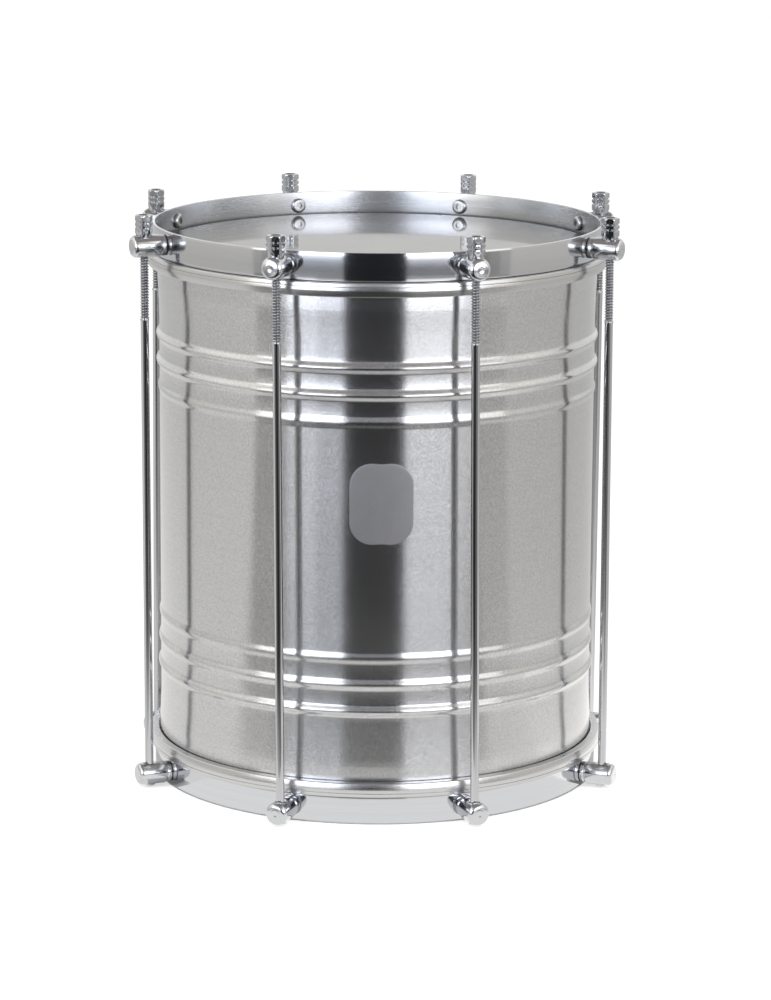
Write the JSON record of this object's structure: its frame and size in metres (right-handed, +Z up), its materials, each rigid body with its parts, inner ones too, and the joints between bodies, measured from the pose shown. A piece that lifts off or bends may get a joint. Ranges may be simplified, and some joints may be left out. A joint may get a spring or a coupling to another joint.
{
  "type": "repinique drum",
  "caption": "Two-headed cylindrical drum with a beaded brushed metal shell, flat chromed tension hoops, turned lugs and full-length tension rods with tall hexagon nuts.",
  "frame": {"origin": "centre of the drum's foot, on the plane of the bottom tension hoop's lower edge", "axes": "+Z up the drum's axis, -Y towards the front"},
  "size_m": [0.3322, 0.3322, 0.3939],
  "materials": {
    "shell_aluminium": "brushed round the drum",
    "hoop_aluminium": "satin",
    "chrome": "polished",
    "plated_steel": "bright plated",
    "drumhead_film": "smooth clear-coated film"
  },
  "bodies": {
    "drum": {"shell": "shell_aluminium", "top_head": "drumhead_film", "bottom_head": "drumhead_film", "top_flesh_hoop": "hoop_aluminium", "bottom_flesh_hoop": "hoop_aluminium", "top_tension_hoop": "chrome", "bottom_tension_hoop": "chrome", "top_lug_1": "chrome", "top_lug_2": "chrome", "top_lug_3": "chrome", "top_lug_4": "chrome", "top_lug_5": "chrome", "top_lug_6": "chrome", "top_lug_7": "chrome", "top_lug_8": "chrome", "bottom_lug_1": "chrome", "bottom_lug_2": "chrome", "bottom_lug_3": "chrome", "bottom_lug_4": "chrome", "bottom_lug_5": "chrome", "bottom_lug_6": "chrome", "bottom_lug_7": "chrome", "bottom_lug_8": "chrome", "top_lug_screw_1": "plated_steel", "top_lug_screw_2": "plated_steel", "top_lug_screw_3": "plated_steel", "top_lug_screw_4": "plated_steel", "top_lug_screw_5": "plated_steel", "top_lug_screw_6": "plated_steel", "top_lug_screw_7": "plated_steel", "top_lug_screw_8": "plated_steel", "bottom_lug_screw_1": "plated_steel", "bottom_lug_screw_2": "plated_steel", "bottom_lug_screw_3": "plated_steel", "bottom_lug_screw_4": "plated_steel", "bottom_lug_screw_5": "plated_steel", "bottom_lug_screw_6": "plated_steel", "bottom_lug_screw_7": "plated_steel", "bottom_lug_screw_8": "plated_steel", "tension_rod_1": "plated_steel", "tension_rod_2": "plated_steel", "tension_rod_3": "plated_steel", "tension_rod_4": "plated_steel", "tension_rod_5": "plated_steel", "tension_rod_6": "plated_steel", "tension_rod_7": "plated_steel", "tension_rod_8": "plated_steel"},
    "nut_1": {"tension_nut_1": "chrome"},
    "nut_2": {"tension_nut_2": "chrome"},
    "nut_3": {"tension_nut_3": "chrome"},
    "nut_4": {"tension_nut_4": "chrome"},
    "nut_5": {"tension_nut_5": "chrome"},
    "nut_6": {"tension_nut_6": "chrome"},
    "nut_7": {"tension_nut_7": "chrome"},
    "nut_8": {"tension_nut_8": "chrome"}
  },
  "joints": [
    {"name": "nut_1_turn", "type": "hinge", "parent": "drum", "child": "nut_1", "pos_m": [0.06421, -0.15503, 0.3865], "axis": [0, 0, 1], "continuous": true},
    {"name": "nut_2_turn", "type": "hinge", "parent": "drum", "child": "nut_2", "pos_m": [0.15503, -0.06421, 0.3865], "axis": [0, 0, 1], "continuous": true},
    {"name": "nut_3_turn", "type": "hinge", "parent": "drum", "child": "nut_3", "pos_m": [0.15503, 0.06421, 0.3865], "axis": [0, 0, 1], "continuous": true},
    {"name": "nut_4_turn", "type": "hinge", "parent": "drum", "child": "nut_4", "pos_m": [0.06421, 0.15503, 0.3865], "axis": [0, 0, 1], "continuous": true},
    {"name": "nut_5_turn", "type": "hinge", "parent": "drum", "child": "nut_5", "pos_m": [-0.06421, 0.15503, 0.3865], "axis": [0, 0, 1], "continuous": true},
    {"name": "nut_6_turn", "type": "hinge", "parent": "drum", "child": "nut_6", "pos_m": [-0.15503, 0.06421, 0.3865], "axis": [0, 0, 1], "continuous": true},
    {"name": "nut_7_turn", "type": "hinge", "parent": "drum", "child": "nut_7", "pos_m": [-0.15503, -0.06421, 0.3865], "axis": [0, 0, 1], "continuous": true},
    {"name": "nut_8_turn", "type": "hinge", "parent": "drum", "child": "nut_8", "pos_m": [-0.06421, -0.15503, 0.3865], "axis": [0, 0, 1], "continuous": true}
  ]
}
